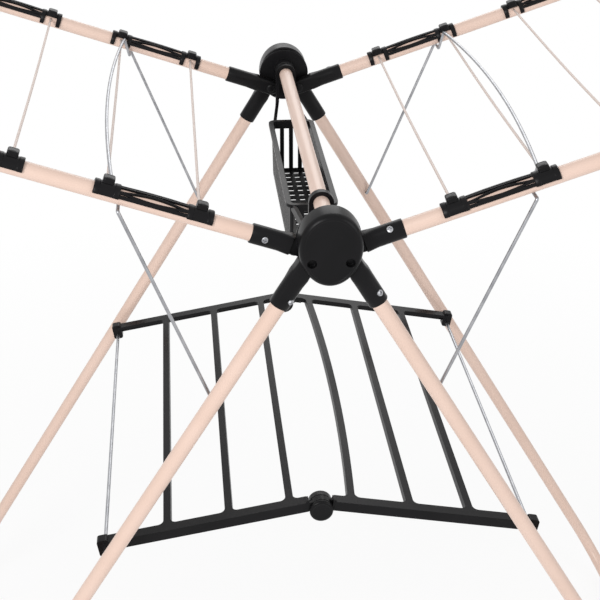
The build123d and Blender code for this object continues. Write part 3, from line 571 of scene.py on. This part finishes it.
def round_strand(name, route, diameter, material, facets, steps):
    """Round cord or wire on one smooth NURBS spline, with the route's points as its control points.
    Facets is the fineness of its section, and steps that of its length."""
    curve = bpy.data.curves.new(name, "CURVE")
    curve.dimensions = "3D"
    curve.bevel_depth = diameter / 2
    curve.bevel_resolution = facets
    curve.use_fill_caps = True
    curve.resolution_u = steps
    spline = curve.splines.new("NURBS")
    spline.points.add(len(route) - 1)
    spline.points.foreach_set("co", np.c_[route, np.ones(len(route))].ravel())
    spline.order_u = 3
    spline.use_endpoint_u = True
    curve.materials.append(material)
    made = bpy.data.objects.new(name, curve)
    bpy.context.scene.collection.objects.link(made)
    return made


for side, sign in SIDES.items():
    for number, at in enumerate(LINE_PLACES, 1):
        route = np.array([
            frame_point(WING_RISE, sign, at, y, LINE_UP)
            for y in (-LINE_HALF, -LINE_STRAIGHT, 0, LINE_STRAIGHT, LINE_HALF)
        ])
        route[2, 2] -= LINE_SAG
        line_cord = round_strand(
            f"line_cord_{side}_{number}", route, LINE_D, line_sheath, facets=3, steps=12,
        )
        stand_for(line_cord, f"{side}_wing", f"drying_line_{side}_{number}")

# Wing props: one drawn wire each, bent so that its feet hook into the legs, its shoulders pass under
# the wing arms and its middle bows across between them. Zinc plated, as the screws are.
PROP_D = 0.0035
PROP_AT = 0.184
PROP_FOOT_Y = 0.2485
PROP_LEG_Y = 0.2408
PROP_OUT_Y = 0.2460
PROP_IN_Y = 0.2210
PROP_UNDER = -0.0104
PROP_PEAK_AT = 0.196
PROP_PEAK_UP = 0.008
PROP_BEND = 0.004
PROP_BOW = (0.013, 0.002)
PROP_BOW_SHARES = np.linspace(0.8, -0.8, 7)


def prop_route(side):
    """Control points of a prop: from the leg under the arm and up inside it, then a bow across to the
    other arm, whose distance along and above the arm grows as 1 - (y / y0)^2. Each bend has a point at
    its corner and one on both its runs."""
    half = np.array([
        frame_point(LEG_SLOPE, side, PROP_AT, PROP_FOOT_Y, 0),
        frame_point(LEG_SLOPE, side, PROP_AT, PROP_LEG_Y, 0),
        frame_point(WING_RISE, side, PROP_AT, PROP_OUT_Y, PROP_UNDER),
        frame_point(WING_RISE, side, PROP_AT, PROP_IN_Y, PROP_UNDER),
        frame_point(WING_RISE, side, PROP_PEAK_AT, PROP_IN_Y, PROP_PEAK_UP),
    ])
    swell = 1 - PROP_BOW_SHARES ** 2
    along, up = PROP_PEAK_AT + PROP_BOW[0] * swell, PROP_PEAK_UP + PROP_BOW[1] * swell
    bow = frame_point(WING_RISE, side, along, PROP_BOW_SHARES * PROP_IN_Y, up).T
    runs = np.concatenate([half, bow[:1]])
    corner, before, after = runs[1:-1], runs[:-2] - runs[1:-1], runs[2:] - runs[1:-1]
    before, after = (way / np.linalg.norm(way, axis=1, keepdims=True) for way in (before, after))
    bends = np.stack([corner + PROP_BEND * before, corner, corner + PROP_BEND * after], 1).reshape(-1, 3)
    first = np.concatenate([half[:1], bends])
    return np.concatenate([first, bow, first[::-1] * (1, -1, 1)])


for side, sign in SIDES.items():
    prop_wire = round_strand(
        f"prop_wire_{side}", prop_route(sign), PROP_D, bright_zinc, facets=4, steps=8,
    )
    stand_for(prop_wire, f"{side}_prop", f"wing_prop_{side}")

# Lower shelf: two moulded halves hinged on two pins, each hung on a plated wire that turns in the
# legs. The pins are moulded as short barrels, with split lines where the two halves lap on them, and
# a short block at the root of each rail carries it up to the barrel.
SHELF_AT = 0.406
SHELF_RISE = 0.041
SHELF_SLOPE = np.arctan2(SHELF_RISE, PIVOT_HALF + SHELF_AT * sin(LEG_SPLAY))
HINGE_Z = PIVOT_Z - SHELF_AT * cos(LEG_SPLAY) + SHELF_RISE
BARREL_R = 0.0124
BARREL_PROFILE = [
    (0.0090, 0.2128), (0.0118, 0.2130), (BARREL_R, 0.2138), (BARREL_R, 0.2206), (0.0117, 0.2208),
    (0.0117, 0.2215), (BARREL_R, 0.2217), (BARREL_R, 0.2286), (0.0115, 0.2288), (0.0115, 0.2294),
    (BARREL_R, 0.2296), (BARREL_R, 0.2318), (0.0120, 0.2328), (0.0110, 0.2334), (0.0098, 0.2336),
    (0.0094, 0.2333), (0.0088, 0.2332), (0.0030, 0.2332),
]
ROOT_RUN = np.array([0.0112, 0.0145])
ROOT_MIDDLE = (0.2232, 0.0065)
ROOT_HALF = (0.0057, 0.0053)


def root_rings(side, end):
    """Block at the root of a rail: |a/w|^8 + |b/h|^8 = 1 across it, carried along the shelf's slope."""
    across, lift = superellipse(full_turn(40), 8)
    out, up = ROOT_MIDDLE[0] + ROOT_HALF[0] * across, ROOT_MIDDLE[1] + ROOT_HALF[1] * lift
    along = ROOT_RUN[:, None]
    x = side * (along * np.cos(SHELF_SLOPE) + up * np.sin(SHELF_SLOPE))
    z = HINGE_Z - along * np.sin(SHELF_SLOPE) + up * np.cos(SHELF_SLOPE)
    return np.stack([x, end * (out + 0 * x), z], -1)


for end, sign in ENDS.items():
    barrel = turned_rings(BARREL_PROFILE, sign, (0, HINGE_Z), around=72)
    hinge_barrel = put_shells(f"hinge_barrel_{end}", [barrel], black_plastic, crease=45)
    stand_for(hinge_barrel, "shelf_hinge", f"shelf_hinge_pin_{end}")
for side, sign in SIDES.items():
    dress(black_plastic, f"shelf_half_{side}")
    dress(bright_zinc, f"shelf_end_wire_{side}")
    for end, end_sign in ENDS.items():
        rings = root_rings(sign, end_sign)
        rail_root = put_shells(f"rail_root_{side}_{end}", [rings], black_plastic, crease=40)
        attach(rail_root, f"shelf_{side}")

# Peg basket: a pierced trough moulded in one piece with its two hangers, whose rings are slid over
# the crossbar before the hubs go on. Black polypropylene, as the other mouldings.
dress(black_plastic, "peg_basket")

# Floor and surroundings: a plain pale studio floor and a white world behind it. The floor is part
# white of its own, so that its lit part reaches white and the shadow stays soft.
FLOOR_HALF = 6.0
WORLD_LIGHT = 0.44


def seen_share(tree):
    """Node that gives 1 where the camera sees a surface straight, in a gloss or through glass, else 0."""
    ray = add(tree, "ShaderNodeLightPath")
    seen = add(tree, "ShaderNodeMath", {
        0: (ray, "Is Camera Ray"), 1: (ray, "Is Glossy Ray"),
    }, operation="MAXIMUM")
    return add(tree, "ShaderNodeMath", {
        0: (seen, "Value"), 1: (ray, "Is Transmission Ray"),
    }, operation="MAXIMUM")


floor_paint, tree = new_material("pale_studio_floor")
diffuse = add(tree, "ShaderNodeBsdfDiffuse", {"Color": linear("#f7f7f7")})
glow = add(tree, "ShaderNodeEmission", {"Color": linear("#ffffff"), "Strength": 1.0})
coords = add(tree, "ShaderNodeTexCoord")
reach = add(tree, "ShaderNodeVectorMath", {0: (coords, "Object")}, operation="LENGTH")
fade = add(tree, "ShaderNodeMapRange", {
    "Value": (reach, "Value"), "From Min": 0.4, "From Max": 1.6, "To Min": 0.86, "To Max": 1.0,
})
share = add(tree, "ShaderNodeMath", {
    0: (seen_share(tree), "Value"), 1: (fade, "Result"),
}, operation="MULTIPLY")
both = add(tree, "ShaderNodeMixShader", {0: (share, "Value"), 1: (diffuse, "BSDF"), 2: (glow, "Emission")})
add(tree, "ShaderNodeOutputMaterial", {"Surface": (both, "Shader")})
floor_paint.cycles.emission_sampling = "NONE"
corners = np.array([[-1, -1, 0], [1, -1, 0], [1, 1, 0], [-1, 1, 0]]) * FLOOR_HALF
studio_floor = put_mesh("studio_floor", corners, [[0, 1, 2, 3]], floor_paint)

world = bpy.data.worlds.new("white_studio")
bpy.context.scene.world = world
world.use_nodes = True
world.node_tree.nodes.clear()
tree = world.node_tree
soft = add(tree, "ShaderNodeBackground", {"Color": linear("#ffffff"), "Strength": WORLD_LIGHT})
white = add(tree, "ShaderNodeBackground", {"Color": linear("#ffffff"), "Strength": 1.0})
both = add(tree, "ShaderNodeMixShader", {
    0: (seen_share(tree), "Value"), 1: (soft, "Background"), 2: (white, "Background"),
})
add(tree, "ShaderNodeOutputWorld", {"Surface": (both, "Shader")})

# Lamps: a large soft box in front and to the left, a weaker one from the right and one from behind,
# all turned to the upper half of the airer.
LAMP_AIM = (0, 0, 0.7)


def soft_box(name, place, size, watts):
    """Square area lamp at a place, facing the aim of the lamps."""
    lamp = bpy.data.lights.new(name, "AREA")
    lamp.size = size
    lamp.energy = watts
    made = bpy.data.objects.new(name, lamp)
    made.location = place
    aim = Vector(LAMP_AIM) - Vector(place)
    made.rotation_euler = aim.to_track_quat("-Z", "Y").to_euler()
    bpy.context.scene.collection.objects.link(made)


soft_box("key_box", (-1.6, -2.5, 2.2), size=1.2, watts=54)
soft_box("fill_box", (2.2, -1.6, 1.6), size=1.6, watts=15)
soft_box("back_box", (0.3, 2.4, 2.2), size=1.6, watts=17)

# Camera: fitted to the tubes in the photograph, with its frame shifted as the picture was cropped.
# Its turn is given as three angles, about X, Y and Z in that order.
FOCAL_PIXELS = 1281.8
FRAME_PIXELS = 600
CENTRE_PIXELS = (265.8, 171.4)
SENSOR_MM = 36
CAMERA_AT = (-0.13934, -1.31808, 1.34963)
CAMERA_TURN = (1.97267, -0.06848, -0.02897)
CAMERA_REACH = 50
tilt, roll, pan = (
    np.array(Matrix.Rotation(angle, 3, axis)) for angle, axis in zip(CAMERA_TURN, "XYZ")
)
right, down, ahead = pan @ roll @ tilt
lens = bpy.data.cameras.new("camera")
lens.sensor_width = SENSOR_MM
lens.lens = FOCAL_PIXELS / FRAME_PIXELS * SENSOR_MM
lens.shift_x = (FRAME_PIXELS / 2 - CENTRE_PIXELS[0]) / FRAME_PIXELS
lens.shift_y = (CENTRE_PIXELS[1] - FRAME_PIXELS / 2) / FRAME_PIXELS
lens.clip_end = CAMERA_REACH
camera = bpy.data.objects.new("camera", lens)
placed = np.eye(4)
placed[:3] = np.stack([right, -down, -ahead, np.array(CAMERA_AT)], 1)
camera.matrix_world = Matrix(placed.tolist())
bpy.context.scene.collection.objects.link(camera)
bpy.context.scene.camera = camera
bpy.context.scene.view_settings.view_transform = "Standard"
